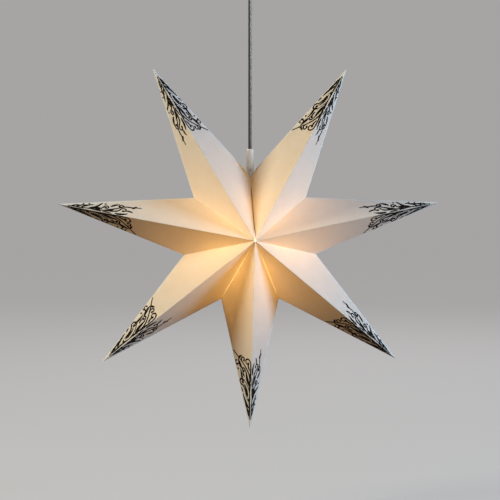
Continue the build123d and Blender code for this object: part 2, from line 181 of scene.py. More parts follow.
# ---- card ---------------------------------------------------------------------------------------
CARD_WHITE = (0.83, 0.81, 0.80, 1.0)
CARD_SHADE = (0.77, 0.745, 0.73, 1.0)
CARD_GLOW = (1.0, 0.67, 0.28, 1.0)
CARD_GLOW_THIN = (1.0, 0.73, 0.34, 1.0)
# paler card along the ridges: partly fold wear, partly a painted highlight of the crease
CARD_WORN_AND_LIT = (0.92, 0.91, 0.90, 1.0)
CLOUDS = 75.0               # cells per metre of the card's unevenness
FIBRES = 420.0              # and of its fibres, which run up and down
FIBRE_STRETCH = (1.0, 1.0, 0.35)
RIDGE_WEAR_AND_HIGHLIGHT = 0.0012          # width of the paler line along a ridge: fold wear plus a painted highlight of the rounded crease
THROUGH = 0.42              # share of the card that shows the lamp's light, where the card is single
THROUGH_LAP = 0.30          # and where it is doubled
GLUE_LAP = 0.0042           # width of the doubled card along the tip-to-notch creases


def card_outside():
    """White card seen from outside: it scatters the light in front and lets some of the lamp's through."""
    s = Shader("card_outside")
    cloud = s.noise(CLOUDS, 4.0, roughness=0.6)
    fibre = s.noise(FIBRES, 3.0, stretch=FIBRE_STRETCH)
    grain = s.noise(2600.0, 2.0)
    base = s.mix(s.remap(cloud, 0.3, 0.7, 0.0, 0.6), CARD_WHITE, CARD_SHADE)
    # paler along each ridge: fold wear, and a painted highlight where the rounded crease would catch the light
    ridge_wear_and_highlight = s.remap(s.distance("from_ridge"), 0.0, RIDGE_WEAR_AND_HIGHLIGHT, 0.75, 0.0)
    base = s.mix(ridge_wear_and_highlight, base, CARD_WORN_AND_LIT)
    rough = s.remap(fibre, 0.25, 0.75, 0.5, 0.66)
    height = s.math("ADD", s.math("MULTIPLY", fibre, 0.7), s.math("MULTIPLY", grain, 0.3))
    front = s.principled({"Base Color": base, "Roughness": rough, "Specular IOR Level": 0.35,
                          "Sheen Weight": 0.08, "Normal": s.bump(height, 0.35, 0.00006)})
    through = s.mix(s.remap(fibre, 0.3, 0.7, 0.0, 1.0), CARD_GLOW, CARD_GLOW_THIN)
    behind = s.node("ShaderNodeBsdfTranslucent", {"Color": through}).outputs[0]
    share = s.remap(s.distance("from_crease"), GLUE_LAP * 0.7, GLUE_LAP, THROUGH_LAP, THROUGH)
    share = s.math("MULTIPLY", share, s.remap(cloud, 0.25, 0.75, 0.93, 1.07))
    blend = s.node("ShaderNodeMixShader", {0: share, 1: front, 2: behind}).outputs[0]
    return s.finish(blend)


def card_inside():
    """The same card from inside; half of the lamp's light goes on into the sheet."""
    s = Shader("card_inside")
    cloud = s.noise(CLOUDS, 4.0)
    base = s.mix(cloud, (0.86, 0.78, 0.65, 1.0), (0.80, 0.71, 0.57, 1.0))
    back = s.node("ShaderNodeBsdfDiffuse", {"Color": base, "Roughness": 0.3}).outputs[0]
    into = s.node("ShaderNodeBsdfTransparent").outputs[0]
    return s.finish(s.node("ShaderNodeMixShader", {0: 0.5, 1: back, 2: into}).outputs[0])


def card_edge():
    """Cut and folded edges: rougher and a little greyer than the coated face."""
    s = Shader("card_edge")
    fibre = s.noise(1500.0, 3.0)
    base = s.mix(fibre, (0.70, 0.68, 0.66, 1.0), (0.58, 0.56, 0.53, 1.0))
    return s.finish(s.principled({"Base Color": base, "Roughness": 0.85,
                                  "Normal": s.bump(fibre, 0.5, 0.00008)}))


def printed_ink():
    """Matt black ink, a little browner where it is worn."""
    s = Shader("print_ink")
    fibre = s.noise(FIBRES, 3.0, stretch=FIBRE_STRETCH)
    worn = s.noise(1100.0, 4.0)
    base = s.mix(s.remap(worn, 0.45, 0.8, 0.0, 0.5), (0.007, 0.004, 0.003, 1.0), (0.026, 0.017, 0.011, 1.0))
    return s.finish(s.principled({"Base Color": base, "Roughness": s.remap(fibre, 0.3, 0.7, 0.6, 0.75),
                                  "Specular IOR Level": 0.05, "Normal": s.bump(fibre, 0.3, 0.00003)}))


# ---- panels -------------------------------------------------------------------------------------
CARD = 0.0004               # thickness
SLIT_HALF = 0.00055         # half of the light slit along a valley, at its widest
# how far each slit gapes, by its valley: 1 lies between points 1 and 2, and so on; the seam has none
SLIT_OPEN = {1: 0.2, 2: 0.1, 3: 1.0, 4: 1.0, 5: 0.45, 6: 0.05}
SLIT_FROM, SLIT_TO = 0.13, 0.90  # shares of the valley, from the apex
SLIT_TAPER = 0.22           # share over which the slit opens
SLIT_END = 0.02             # and over which it closes by the notch
CREASE_GAP = 0.00002        # from the hinge line to the card, which is cut square there
VALLEY_GAP = 0.00005        # the same at valleys and ridges, where the card is mitred
RIDGE_GAP = 0.00001
APEX_HOLE = 0.0017          # radius of the opening at the apex
TIP_BLUNT = 0.0009          # length cut off each tip
SEAM_HALF = 0.00075         # from the seam's plane to the edge of the card
STEM_HOLE_DEPTH = 0.0098    # hole for the stem: from the mid-plane, along the seam
STEM_HOLE_WIDTH = 0.0108    # and from the seam, along the tip-to-notch crease
WIDE_HOLE = (0.0130, 0.0260)  # the same two on the front left panel, which is cut wider
BULGE = 0.00042             # how far the card swells between its creases
BULGE_WAVE = 0.5            # share by which that varies along the panel
BULGE_WAVE_TURN = 38.0      # radians per metre
BULGE_WAVE_START = {"a": 1.3, "b": 0.2}
BULGE_WAVE_STEP = 2.1       # added for each point, so that no two are alike
PRINT_REACH = 0.138         # the printed end of each point, which stays flat
PRINT_FADE = 0.06           # lengths over which the bulge rises from the print and from the apex
APEX_FADE = 0.05
COLUMN = 0.0075             # spacing of a panel's columns
ROWS = 10
OUTSIDE, INSIDE, RIM = range(3)  # places in a panel's list of materials
CROSSINGS_FROM, CROSSINGS_TO = 0.05, 0.95  # stretch of the ridge where the outline's lines can cross
HALVINGS = 60


def tip_of(k):
    """Tip of point k, on the mid-plane; the points are numbered 1 to 7 from the seam."""
    return Vector(joints[f"crease_{k}_a"]["pos_m"])


def at_seam(k, side):
    """The two half points that meet at the seam."""
    return (k, side) in ((1, "a"), (7, "b"))


def meeting(p, u, q, v):
    """Where two lines of the mid-plane cross."""
    across = u.x * v.z - u.z * v.x
    gap = q - p
    return p + u * ((gap.x * v.z - gap.z * v.x) / across)


def notch_of(k, side):
    """Inner end of the tip-to-notch crease; the two at the seam meet on its plane."""
    crease = joints[f"crease_{k}_{side}"]
    tip, along = tip_of(k), Vector(crease["axis"])
    if at_seam(k, side):
        return tip + along * (-tip.x / along.x)
    other, other_side = (k + 1, "a") if side == "b" else (k - 1, "b")
    return meeting(tip, along, tip_of(other), Vector(joints[f"crease_{other}_{other_side}"]["axis"]))


class Facet:
    """One triangular panel, with its own axes: along the ridge from the apex, and across from the ridge."""

    def __init__(self, face, k, side):
        self.face, self.k, self.side = face, k, side
        sign = 1 if face == "front" else -1
        self.apex = Vector((0, sign * FRONT_APEX.y, CENTRE.z))
        self.tip, self.notch = tip_of(k), notch_of(k, side)
        self.length = (self.tip - self.apex).length
        self.along = (self.tip - self.apex) / self.length
        reach = self.notch - self.apex
        self.foot = reach.dot(self.along)
        self.across = (reach - self.along * self.foot).normalized()
        self.width = reach.dot(self.across)
        self.normal = self.along.cross(self.across)
        self.right_handed = self.normal.dot(self.apex - CENTRE) > 0
        if not self.right_handed:
            self.normal.negate()
        self.valley_slope = self.width / self.foot
        self.crease_slope = self.width / (self.length - self.foot)

    def point(self, x, y, height=0.0):
        """Place in the frame of x along the ridge, y across from it and a height above the sheet."""
        return self.apex + self.along * x + self.across * y + self.normal * height

    def mitre(self, plane_normal):
        """How far the outer surface ends beyond the inner one at an edge cut by a plane through it."""
        c = abs(self.normal.dot(plane_normal))
        return CARD * c / sqrt(max(1 - c * c, 1e-9))

    def ridge_mitre(self):
        return self.mitre(Vector((0, 1, 0)).cross(self.tip - CENTRE).normalized())

    def valley_mitre(self):
        return self.mitre(Vector((0, 1, 0)).cross(self.notch - CENTRE).normalized())

    def limits(self, outer):
        """Lines that bound the panel above the ridge, each as a function of x."""
        valley_run = sqrt(1 + self.valley_slope ** 2)
        crease_run = sqrt(1 + self.crease_slope ** 2)
        slit = SLIT_HALF * SLIT_OPEN.get(self.k if self.side == "b" else self.k - 1, 0.0)
        valley_room = VALLEY_GAP + (self.valley_mitre() if outer else 0.0)

        def crease(x):
            return (self.length - x) * self.crease_slope - CREASE_GAP * crease_run

        def valley(x):
            share = x / self.foot
            opening, closing = (share - SLIT_FROM) / SLIT_TAPER, (SLIT_TO - share) / SLIT_END
            gape = slit * min(max(opening, 0), max(closing, 0), 1)
            return x * self.valley_slope - (valley_room + gape) * valley_run

        def seam(x):
            side = 1 if self.side == "a" else -1
            start = side * self.point(x, 0).x
            return (start - SEAM_HALF) / (-side * self.across.x)

        if not at_seam(self.k, self.side):
            return [valley, crease]
        wide = (self.face, self.k) == ("front", 7)
        hole_depth, hole_width = WIDE_HOLE if wide else (STEM_HOLE_DEPTH, STEM_HOLE_WIDTH)
        on_seam = self.notch + (self.apex - self.notch) * (hole_depth / abs(self.apex.y))
        towards_tip = self.tip - self.notch
        on_crease = self.notch + towards_tip * (hole_width / abs(towards_tip.x))
        x1, y1 = ((on_seam - self.apex).dot(v) for v in (self.along, self.across))
        x2, y2 = ((on_crease - self.apex).dot(v) for v in (self.along, self.across))

        def hole(x):
            return y1 + (x - x1) * (y2 - y1) / (x2 - x1)

        return [seam, crease, hole]

    def crossing(self, f, g):
        """Where two of the outline's lines cross, found by halving; None if they don't."""
        a, b = self.length * CROSSINGS_FROM, self.length * CROSSINGS_TO
        if (f(a) - g(a)) * (f(b) - g(b)) >= 0:
            return None
        for _ in range(HALVINGS):
            middle = (a + b) / 2
            if (f(a) - g(a)) * (f(middle) - g(middle)) <= 0:
                b = middle
            else:
                a = middle
        return (a + b) / 2

    def breaks(self, lines):
        """Columns that the outline needs: where two of its lines cross, and the slit's ends."""
        crossings = [self.crossing(f, g) for i, f in enumerate(lines) for g in lines[i + 1:]]
        found = [x for x in crossings if x is not None]
        if not at_seam(self.k, self.side):
            for share in (SLIT_FROM, SLIT_FROM + SLIT_TAPER, SLIT_TO - SLIT_END, SLIT_TO):
                found.append(self.foot * share)
        return found

    def bulge(self, x, y, top):
        """Slight swelling of the card away from its creases; flat where it is printed."""
        share = min(max(y / max(top, 1e-6), 0), 1)
        from_tip = self.length - x
        fade = min(max((from_tip - PRINT_REACH) / PRINT_FADE, 0), 1) * min(x / APEX_FADE, 1)
        fade = fade * fade * (3 - 2 * fade)
        phase = x * BULGE_WAVE_TURN + self.k * BULGE_WAVE_STEP + BULGE_WAVE_START[self.side]
        return BULGE * sin(pi * share) ** 2 * fade * (1 + BULGE_WAVE * sin(phase))


def panel_columns(facet):
    """Places along the ridge for the panel's columns, from the apex hole to the blunt tip."""
    edges = sorted([APEX_HOLE, facet.length - TIP_BLUNT] + facet.breaks(facet.limits(True)))
    columns = []
    for start, end in zip(edges, edges[1:]):
        count = max(1, round((end - start) / COLUMN))
        columns += [start + (end - start) * i / count for i in range(count)]
    return columns + [edges[-1]]


def panel_points(facet, columns, outer):
    """Grid of (x, y, height) for one surface of the panel; the first column follows the round apex hole."""
    lines = facet.limits(outer)
    low = RIDGE_GAP - (facet.ridge_mitre() if outer else 0.0)
    base = CARD if outer else 0.0
    grid = []
    for i, x in enumerate(columns):
        top = min(f(x) for f in lines)
        column = []
        for j in range(ROWS + 1):
            y = low + (top - low) * j / ROWS
            near = x
            if i == 0:
                near = sqrt(max(APEX_HOLE ** 2 - max(y, 0) ** 2, 0)) if y < APEX_HOLE else x
            column.append((near, y, base + facet.bulge(x, y, top)))
        grid.append(column)
    return grid


def build_mesh(name, vertices, faces, materials, slots=None, smooth=False):
    """Mesh object in the scene; slots says which of the materials each face has."""
    mesh = bpy.data.meshes.new(name)
    mesh.from_pydata([tuple(v) for v in vertices], [], faces)
    for m in materials:
        mesh.materials.append(m)
    if slots:
        mesh.polygons.foreach_set("material_index", slots)
    mesh.polygons.foreach_set("use_smooth", [smooth] * len(faces))
    mesh.update()
    piece = bpy.data.objects.new(name, mesh)
    bpy.context.scene.collection.objects.link(piece)
    return piece


def fix_normals(mesh):
    """Turn the rims' faces to agree with the closed sheet's, then keep the rims sharp."""
    bm = bmesh.new()
    bm.from_mesh(mesh)
    bmesh.ops.recalc_face_normals(bm, faces=bm.faces)
    for edge in bm.edges:
        edge.smooth = len({f.material_index for f in edge.link_faces}) == 1
    bm.to_mesh(mesh)
    bm.free()


def make_panel(facet, materials):
    """Thin closed sheet in place of one CAD panel; it knows how far each point is from its creases."""
    name = f"{facet.k}_{facet.face}_{facet.side}"
    columns = panel_columns(facet)
    outer = panel_points(facet, columns, True)
    inner = panel_points(facet, columns, False)
    vertices, faces, slots, store = [], [], [], []
    for grid in (outer, inner):
        for column in grid:
            for x, y, height in column:
                vertices.append(facet.point(x, y, height))
                store.append((x, y))
    rows, count = ROWS + 1, len(columns)
    layer = rows * count

    def at(level, i, j):
        return level * layer + i * rows + j

    for level in (OUTSIDE, INSIDE):
        for i in range(count - 1):
            for j in range(ROWS):
                face = (at(level, i, j), at(level, i + 1, j), at(level, i + 1, j + 1), at(level, i, j + 1))
                looks_out = facet.right_handed == (level == OUTSIDE)
                faces.append(face if looks_out else face[::-1])
                slots.append(level)
    ring = [(i, 0) for i in range(count)] + [(count - 1, j) for j in range(1, rows)]
    ring += [(i, ROWS) for i in range(count - 2, -1, -1)] + [(0, j) for j in range(ROWS - 1, 0, -1)]
    for (i, j), (m, n) in zip(ring, ring[1:] + ring[:1]):
        faces.append((at(OUTSIDE, i, j), at(OUTSIDE, m, n), at(INSIDE, m, n), at(INSIDE, i, j)))
        slots.append(RIM)
    piece = build_mesh(f"card_{name}", vertices, faces, materials, slots, smooth=True)
    fix_normals(piece.data)
    crease_run = sqrt(1 + facet.crease_slope ** 2)
    ridge = [max(y, 0.0) for x, y in store]
    crease = [max(((facet.length - x) * facet.crease_slope - y) / crease_run, 0.0) for x, y in store]
    for attribute, values in (("from_ridge", ridge), ("from_crease", crease)):
        layer_data = piece.data.attributes.new(attribute, "FLOAT", "POINT").data
        layer_data.foreach_set("value", values)
    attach(piece, f"point_{name}")
    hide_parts(f"point_{name}")
    return piece


# ---- printed scroll: strokes in millimetres from the tip (s) and from the ridge (w) ---------------
PRINT_STEP = 0.5            # grid that the strokes are outlined on, mm
PRINT_WEIGHT = 0.66         # added to every stroke's half-width, mm
PRINT_START, PRINT_END = 15.0, 140.0  # from the tip, mm
PRINT_MARGIN = 1.0          # bare card along the tip-to-notch crease, mm
PRINT_RIDGE_MARGIN = 0.06   # and along the ridge, mm
PRINT_LIFT = 0.000015       # from the card to the underside of the film of ink
PRINT_FILM = 0.00006        # thickness of the film
PRINT_SEARCH = 3            # how far round a stroke the grid is measured, mm
GRID_CLEARANCE = 0.02       # share of a cell that keeps the outline's points off the grid's corners
MERGE = 1e-5                # outline points nearer than this are one, mm
LEAF_POINT = 0.12           # half-width of a leaf's two ends, mm
LEAF_SKEW = 0.8             # below 1 its belly sits nearer the base
CURL_POINTS = 40
CURL_TIGHTEN = 0.72         # share by which a tendril's radius shrinks towards its end
CURL_THIN = 0.45            # and its half-width
CURL_BALL = 1.9             # half-width of the ball at its end, against the tendril's
CURL_BALL_POINTS = 3
DOT_LENGTH = 0.05


def curve(points, count=26):
    """Points along a Bezier curve of any order."""
    t = np.linspace(0, 1, count)[:, None]
    layer = [np.array(p, float)[None, :] * np.ones_like(t) for p in points]
    while len(layer) > 1:
        layer = [a * (1 - t) + b * t for a, b in zip(layer, layer[1:])]
    return layer[0]


def vine(points, start, end):
    """Stroke whose half-width runs from start to end."""
    line = curve(points)
    return line, np.linspace(start, end, len(line))


def leaf(base, end, bend, half_width, blunt=0.9):
    """Pointed leaf from base to end, bowed sideways by bend."""
    base, end = np.array(base, float), np.array(end, float)
    side = np.array([-(end - base)[1], (end - base)[0]]) / np.linalg.norm(end - base)
    line = curve([base, (base + end) / 2 + side * bend * 2, end])
    t = np.linspace(0, 1, len(line))
    return line, LEAF_POINT + half_width * np.sin(pi * t ** LEAF_SKEW) ** blunt


def curl(start, heading, radius, turns, hand, half_width):
    """Tendril that leaves start along heading degrees and rolls up, ending in a ball."""
    angle = radians(heading)
    t = np.linspace(0, 1, CURL_POINTS)
    steps = radius * 2 * pi * turns / len(t) * (1 - CURL_TIGHTEN * t)
    turn = np.cumsum(np.full(len(t), hand * 2 * pi * turns / len(t)))
    x = start[0] + np.cumsum(steps * np.cos(angle + turn))
    y = start[1] + np.cumsum(steps * np.sin(angle + turn))
    width = half_width * (1 - CURL_THIN * t)
    width[-CURL_BALL_POINTS:] = half_width * CURL_BALL
    return np.stack([x, y], 1), width


def dot(at, radius):
    """Round spot, as a very short stroke."""
    line = np.array([at, (at[0] + DOT_LENGTH, at[1])], float)
    return line, np.full(2, radius)


def broad_side():
    """Side of the print with the large hollow leaf and the two big tendrils."""
    ink = [vine([(PRINT_START, 1.0), (42, 4.2), (72, 5.2), (100, 2.0)], 0.4, 1.0)]
    ink += [leaf((19, 1.6), (32, 8.6), 0.8, 0.8), leaf((26, 2.6), (43, 13.4), 1.1, 1.1)]
    ink += [leaf((35, 4.2), (56, 19.0), 1.6, 1.5), leaf((24, 1.2), (39, 1.4), 0.5, 0.7)]
    ink += [leaf((36, 1.8), (54, 2.2), 0.8, 0.9), leaf((47, 5.4), (83, 19.5), -3.0, 5.2)]
    hollow = [leaf((51, 7.2), (79.5, 17.8), -2.4, 3.9)]
    core = [leaf((54, 8.2), (74, 15.8), -1.6, 1.7)]
    core += [vine([(56, 9.5), (66, 15), (72, 18), (71.5, 22.5)], 0.8, 0.7)]
    core += [curl((71.5, 22.5), 84, 6.4, 0.95, -1, 0.8), leaf((79, 22.5), (99, 27.5), -1.2, 1.6)]
    core += [leaf((74, 3.4), (98, 12.4), 1.8, 2.4), vine([(84, 8.5), (96, 12.5), (101, 15.5)], 0.6, 0.6)]
    core += [curl((101, 15.5), 30, 4.6, 0.9, 1, 0.75), leaf((101, 24.0), (116, 33.5), 1.2, 2.3)]
    core += [vine([(88, 3.2), (104, 6.0), (112, 22.0), (126, 46)], 1.1, 0.45)]
    core += [curl((113, 23.5), 55, 5.6, 0.85, -1, 0.75), curl((106, 33.0), 128, 6.2, 0.42, -1, 0.65)]
    core += [dot((97, 33.2), 1.1), dot((103.5, 36.8), 1.25)]
    core += [vine([(96, 2.0), (108, 1.0), (117, 2.2)], 0.9, 0.8), curl((117, 2.2), 10, 7.4, 0.93, 1, 0.85)]
    core += [leaf((103, 4.6), (116, 9.4), 0.8, 1.1), leaf((62, 3.0), (80, 1.0), 0.9, 0.9)]
    core += [leaf((84, 1.4), (101, 0.5), 0.5, 0.8), leaf((60, 19.6), (66, 24.2), 0.5, 0.8)]
    core += [leaf((119, 33), (124, 25.5), -0.8, 1.1), dot((111, 37.5), 0.9)]
    core += [leaf((88, 17.2), (96, 21), 0.6, 1.0)]
    return ink, hollow, core


def narrow_side():
    """Side of the print with the slender sprig."""
    ink = [vine([(PRINT_START, 0.8), (45, 2.6), (75, 3.4), (97, 8.4)], 0.4, 1.0)]
    ink += [leaf((21, 1.6), (33, 7.6), 0.8, 0.85), leaf((29, 2.2), (43, 10.6), 1.0, 1.0)]
    ink += [leaf((38, 3.0), (55, 14.6), 1.3, 1.25), leaf((30, 1.0), (42, 0.7), 0.4, 0.65)]
    ink += [dot((38.5, 12.4), 0.8), dot((47.5, 15.4), 0.9)]
    hollow = []
    core = [leaf((50, 3.4), (69, 9.6), 1.4, 1.8), leaf((56, 6.2), (66, 18.6), -1.0, 1.4)]
    core += [vine([(62, 4.6), (71, 7.0), (73, 13.4)], 0.8, 0.7), curl((73, 13.4), 88, 4.8, 0.95, -1, 0.75)]
    core += [dot((73.5, 21.8), 1.1), leaf((76, 5.2), (93, 15.4), -1.6, 2.1)]
    core += [leaf((84, 17.6), (96, 26.4), 1.2, 1.5)]
    core += [dot((100.5, 21.4), 1.1), vine([(86, 6.0), (99, 8.0), (101, 13.5)], 0.9, 0.7)]
    core += [curl((101, 13.5), 88, 6.2, 0.85, -1, 0.8)]
    core += [vine([(94, 14.0), (103, 24.0), (113, 24.5)], 0.6, 0.8)]
    core += [curl((104.5, 22.0), 96, 5.2, 0.62, 1, 0.65)]
    core += [vine([(113, 24.5), (119, 24.0), (124, 27), (133, 27.0)], 0.8, 0.35)]
    core += [leaf((119.5, 22.4), (125.0, 28.6), 0.1, 1.5), leaf((96, 2.4), (116, 7.0), -1.8, 1.8)]
    core += [leaf((57, 2.2), (72, 1.2), 0.7, 0.85), leaf((75, 1.6), (90, 0.8), 0.6, 0.8)]
    core += [leaf((112, 13.5), (123, 12.0), 1.0, 1.0), leaf((64, 14.0), (68, 22.5), 0.4, 0.9)]
    return ink, hollow, core


def stroke_distance(strokes, grid):
    """Signed distance in millimetres from each grid point to the nearest stroke's edge."""
    best = np.full(grid.shape[:-1], 1e3)
    for line, width in strokes:
        reach = width.max() + PRINT_SEARCH
        low, high = line.min(0) - reach, line.max(0) + reach
        near = ((grid >= low) & (grid <= high)).all(-1)
        spots = grid[near]
        nearest = best[near]
        for a, b, ra, rb in zip(line[:-1], line[1:], width[:-1], width[1:]):
            run = b - a
            t = np.clip(((spots - a) @ run) / max(run @ run, 1e-9), 0, 1)
            gap = np.linalg.norm(spots - a - t[:, None] * run, axis=1) - (ra + (rb - ra) * t) - PRINT_WEIGHT
            nearest = np.minimum(nearest, gap)
        best[near] = nearest
    return best


def print_field(design, slope, grid):
    """Negative where there is ink; slope is the panel's half-width per length from the tip."""
    ink, hollow, core = design
    field = np.maximum(stroke_distance(ink, grid), -stroke_distance(hollow, grid) if hollow else -1e3)
    field = np.minimum(field, stroke_distance(core, grid))
    edge = (grid[..., 1] + PRINT_MARGIN - slope * grid[..., 0]) / sqrt(1 + slope * slope)
    bare = np.maximum(PRINT_RIDGE_MARGIN - grid[..., 1], PRINT_START - grid[..., 0])
    return np.maximum(field, np.maximum(edge, bare))


def outline(field, s_axis, w_axis):
    """Contour of the field at zero: crossing points and the edges that join them."""
    points, index, edges = [], {}, []

    def crossing(i, j, m, n):
        key = (i, j, m, n)
        if key not in index:
            a, b = field[i, j], field[m, n]
            t = min(max(a / (a - b), GRID_CLEARANCE), 1 - GRID_CLEARANCE)
            index[key] = len(points)
            points.append((s_axis[i] + (s_axis[m] - s_axis[i]) * t, w_axis[j] + (w_axis[n] - w_axis[j]) * t))
        return index[key]

    inside = field < 0
    cells = inside[:-1, :-1].astype(int) + inside[1:, :-1] + inside[:-1, 1:] + inside[1:, 1:]
    for i, j in zip(*np.nonzero((cells > 0) & (cells < 4))):
        sides = [(i, j, i + 1, j), (i + 1, j, i + 1, j + 1), (i, j + 1, i + 1, j + 1), (i, j, i, j + 1)]
        cut = [side for side in sides if inside[side[0], side[1]] != inside[side[2], side[3]]]
        hits = [crossing(*side) for side in cut]
        if len(hits) == 2:
            edges.append((hits[0], hits[1]))
        else:
            middle = field[i:i + 2, j:j + 2].sum() < 0
            pairs = ((0, 1), (2, 3)) if inside[i, j] == middle else ((0, 3), (1, 2))
            edges += [(hits[a], hits[b]) for a, b in pairs]
    return points, edges


def inked(triangles, walls):
    """Triangles inside the outline: crossing one of its walls goes from bare card to ink, or back."""
    corners = [[frozenset((t[i], t[i - 1])) for i in range(3)] for t in triangles]
    beside = {}
    for number, sides in enumerate(corners):
        for side in sides:
            beside.setdefault(side, []).append(number)
    ink = {}
    waiting = [(numbers[0], side in walls) for side, numbers in beside.items() if len(numbers) == 1]
    while waiting:
        number, state = waiting.pop()
        if number not in ink:
            ink[number] = state
            for side in corners[number]:
                waiting += [(other, state != (side in walls)) for other in beside[side]]
    return [triangles[number] for number in sorted(ink) if ink[number]]


def print_triangles(design, slope):
    """Vertices in (s, w) and triangles of the inked area, with its outline's edges."""
    s_axis = np.arange(PRINT_START - PRINT_STEP, PRINT_END, PRINT_STEP)
    w_axis = np.arange(-1.0, PRINT_END * slope, PRINT_STEP)
    grid = np.stack(np.meshgrid(s_axis, w_axis, indexing="ij"), -1)
    field = print_field(design, slope, grid)
    points, edges = outline(field, s_axis, w_axis)
    points = [Vector(p) for p in points]
    verts, sides, triangles, _, origins, _ = delaunay_2d_cdt(points, edges, [], 0, MERGE)
    walls = {frozenset(side) for side, origin in zip(sides, origins) if origin}
    return np.array([tuple(v) for v in verts]), inked(triangles, walls)


def make_print(facet, drawing, ink):
    """Film of ink on the outside of a panel, closed all round."""
    points, triangles = drawing
    low, high = CARD + PRINT_LIFT, CARD + PRINT_LIFT + PRINT_FILM
    used = sorted({i for t in triangles for i in t})
    place = {old: new for new, old in enumerate(used)}
    count = len(used)
    vertices = [facet.point(facet.length - points[i][0] * MM, points[i][1] * MM, high) for i in used]
    vertices += [facet.point(facet.length - points[i][0] * MM, points[i][1] * MM, low) for i in used]
    tris = [tuple(place[i] for i in t) for t in triangles]
    a, b, c = (vertices[i] for i in tris[0])
    if (b - a).cross(c - b).dot(facet.normal) < 0:
        tris = [tuple(reversed(t)) for t in tris]
    faces = tris + [tuple(i + count for i in reversed(t)) for t in tris]
    directed = {(t[i], t[(i + 1) % 3]) for t in tris for i in range(3)}
    faces += [(q, p, p + count, q + count) for p, q in sorted(directed) if (q, p) not in directed]
    name = f"{facet.k}_{facet.face}_{facet.side}"
    piece = build_mesh(f"print_{name}", vertices, faces, [ink])
    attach(piece, f"point_{name}")
    return piece


# ---- cord ---------------------------------------------------------------------------------------
def cord_jacket():
    """Smooth dark rubber whose shine has a painted warm tint that offsets the bluish key light, drawn out along
    the cord.
    """
    s = Shader("cord_jacket")
    fine = s.noise(1400.0, 3.0, stretch=(1.0, 1.0, 0.05))
    dull = s.noise(160.0, 3.0)
    base = s.mix(dull, (0.014, 0.013, 0.013, 1.0), (0.026, 0.024, 0.024, 1.0))
    # painted reflection colour: the specular tint warms the highlight against the bluish key light
    return s.finish(s.principled({"Base Color": base, "Roughness": s.remap(fine, 0.3, 0.7, 0.25, 0.31),
                                  "Specular IOR Level": 1.0, "Specular Tint": (1.0, 0.86, 0.72, 1.0),
                                  "Normal": s.bump(fine, 0.2, 0.00001)}))


def make_cord(jacket):
    """Taut cord from inside the stem to the bend in the ceiling bush."""
    low = STEM_TOP - Vector((0, 0, CORD_HIDDEN))
    route = [low, low.lerp(CEILING_PIVOT, 0.35), low.lerp(CEILING_PIVOT, 0.7), CEILING_PIVOT]
    data = bpy.data.curves.new("hanging_cord", "CURVE")
    data.dimensions = "3D"
    spline = data.splines.new("NURBS")
    spline.points.add(len(route) - 1)
    for target, p in zip(spline.points, route):
        target.co = (p.x, p.y, p.z, 1)
    spline.order_u = 3
    spline.use_endpoint_u = True
    data.bevel_depth = CORD_RADIUS
    data.bevel_resolution = 8
    data.use_fill_caps = True
    data.materials.append(jacket)
    cord = bpy.data.objects.new("hanging_cord", data)
    bpy.context.scene.collection.objects.link(cord)
    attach(cord, "cord")
    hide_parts("mains_cord")


# ---- lamp glow ----------------------------------------------------------------------------------
GLOBE_STRENGTH = 1.9
LAMP_POWER = 0.47
LAMP_RADIUS = 0.012
LAMP_COLOUR = (1.0, 0.75, 0.43, 1.0)
LAMP_BELOW = 0.011          # the bulb's collar shades its upper half


def lit_globe():
    """Opal glass that glows evenly."""
    s = Shader("lit_globe")
    haze = s.noise(120.0, 2.0)
    colour = s.mix(haze, LAMP_COLOUR, tinted(LAMP_COLOUR, 0.94))
    base = s.principled({"Base Color": (0.9, 0.88, 0.84, 1.0), "Roughness": 0.25,
                         "Emission Color": colour, "Emission Strength": GLOBE_STRENGTH})
    return s.finish(base)


def make_lamp():
    """Light of the bulb; it sits in the globe, which glows but casts no shadow from it."""
    low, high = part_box("bulb_globe")
    data = bpy.data.lights.new("bulb_light", "POINT")
    data.energy = LAMP_POWER
    data.shadow_soft_size = LAMP_RADIUS
    data.color = LAMP_COLOUR[:3]
    lamp = bpy.data.objects.new("bulb_light", data)
    bpy.context.scene.collection.objects.link(lamp)
    lamp.location = (low + high) / 2 - Vector((0, 0, LAMP_BELOW))
    lamp.visible_camera = False
    frame["nodes"]["bulb_globe"].visible_shadow = False
    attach(lamp, "bulb")


# ---- finishes of the nodes that keep their CAD shape ----------------------------------------------
def dress_nodes(card):
    """Give every node the finish that its material slot in the record names; returns the finishes."""
    finishes = {
        "star_card": card,
        "hook_fabric": solid_finish("hook_fabric", (0.80, 0.80, 0.78), 0.9, 2400.0, 0.0003, 0.06, sheen=0.4),
        "opal_plastic": solid_finish("opal_plastic", (0.72, 0.62, 0.55), 0.22, 300.0, 0.00001, 0.04,
                                     specular=1.0, coat=1.0),
        "holder_plastic": solid_finish("holder_plastic", (0.78, 0.77, 0.74), 0.45, vary=0.05),
        "insert_ceramic": solid_finish("insert_ceramic", (0.82, 0.79, 0.73), 0.35, vary=0.06, coat=0.4),
        "contact_brass": solid_finish("contact_brass", (0.72, 0.52, 0.22), 0.28, metallic=1.0, vary=0.1),
        "tip_black": solid_finish("tip_black", (0.02, 0.02, 0.02), 0.12, coat=0.5),
        "bulb_white": solid_finish("bulb_white", (0.85, 0.84, 0.82), 0.4, vary=0.04),
        "opal_glass": lit_globe(),
        "cord_rubber": cord_jacket(),
        "wire_brown": solid_finish("wire_brown", (0.16, 0.07, 0.03), 0.45),
        "cup_white": solid_finish("cup_white", (0.78, 0.78, 0.77), 0.28, 500.0, 0.00004, 0.04, coat=0.3),
        "bush_black": solid_finish("bush_black", (0.025, 0.025, 0.026), 0.5, 1200.0, 0.00006),
        "screw_steel": solid_finish("screw_steel", (0.42, 0.41, 0.40), 0.35, metallic=1.0,
                                    stretch=(1.0, 1.0, 0.1)),
    }
    for row in frame["record"]["subparts"]:
        mesh = frame["nodes"][row["node"]].data
        mesh.materials.clear()
        mesh.materials.append(finishes[row["material_slot"]])
    return finishes


